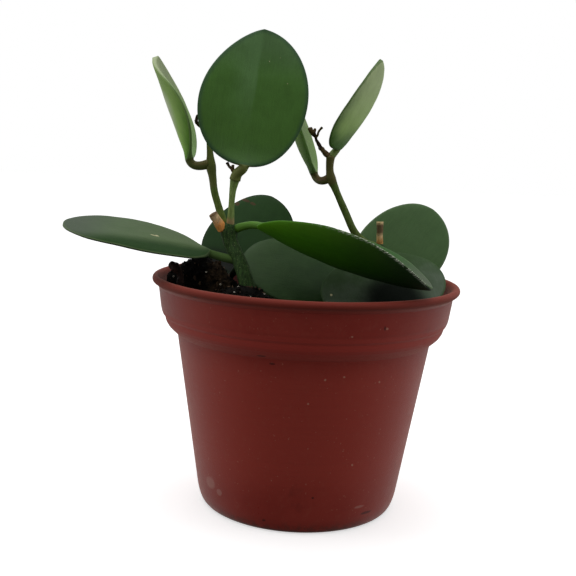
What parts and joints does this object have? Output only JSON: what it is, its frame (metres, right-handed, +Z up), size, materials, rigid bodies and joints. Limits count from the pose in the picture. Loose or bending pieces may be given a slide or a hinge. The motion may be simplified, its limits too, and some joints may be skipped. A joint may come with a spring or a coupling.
{
  "type": "potted house plant",
  "caption": "House plant with thick round coin-like leaves on short side shoots, growing in soil in a tapered terracotta-coloured plastic nursery pot.",
  "frame": {"origin": "centre of the pot's base, on the surface that it stands on", "axes": "+Z up; -Y towards the viewer, the side that the long boat-shaped leaf hangs over; +X to the viewer's right"},
  "size_m": [0.1318, 0.105, 0.1602],
  "materials": {
    "terracotta_plastic": "thin formed plastic, satin, dull brick red with fine dust and soil specks",
    "potting_soil": "dark peaty potting mix with crumbs and white perlite grains",
    "leaf_green": "thick smooth leathery leaf, dark green above, paler below, soft sheen",
    "old_stem": "old dark grey-green stem with fine pale speckles",
    "young_shoot": "young olive-green shoot, smooth, brownish at its joints",
    "dry_cut_end": "dry tan stub of a pruned stem, fibrous",
    "dried_tendril": "withered dark red-brown tendril or twig"
  },
  "bodies": {
    "root": {"pot": "terracotta_plastic", "soil": "potting_soil", "cutting_left": "old_stem", "cutting_right": "old_stem", "shoot_left_back": "young_shoot", "shoot_left_front": "young_shoot", "shoot_right": "young_shoot", "cut_end_left": "dry_cut_end", "cut_end_right": "dry_cut_end", "tendril_left_back": "dried_tendril", "tendril_left_front": "dried_tendril", "tendril_right": "dried_tendril", "twig": "dried_tendril", "leaf_upper_left": "leaf_green", "leaf_upper_middle": "leaf_green", "leaf_lower_left": "leaf_green", "leaf_lower_front": "leaf_green", "leaf_back_left": "leaf_green", "leaf_low_middle": "leaf_green", "leaf_low_right": "leaf_green", "leaf_back_right": "leaf_green", "leaf_upper_inner": "leaf_green", "leaf_upper_right": "leaf_green"}
  },
  "joints": []
}
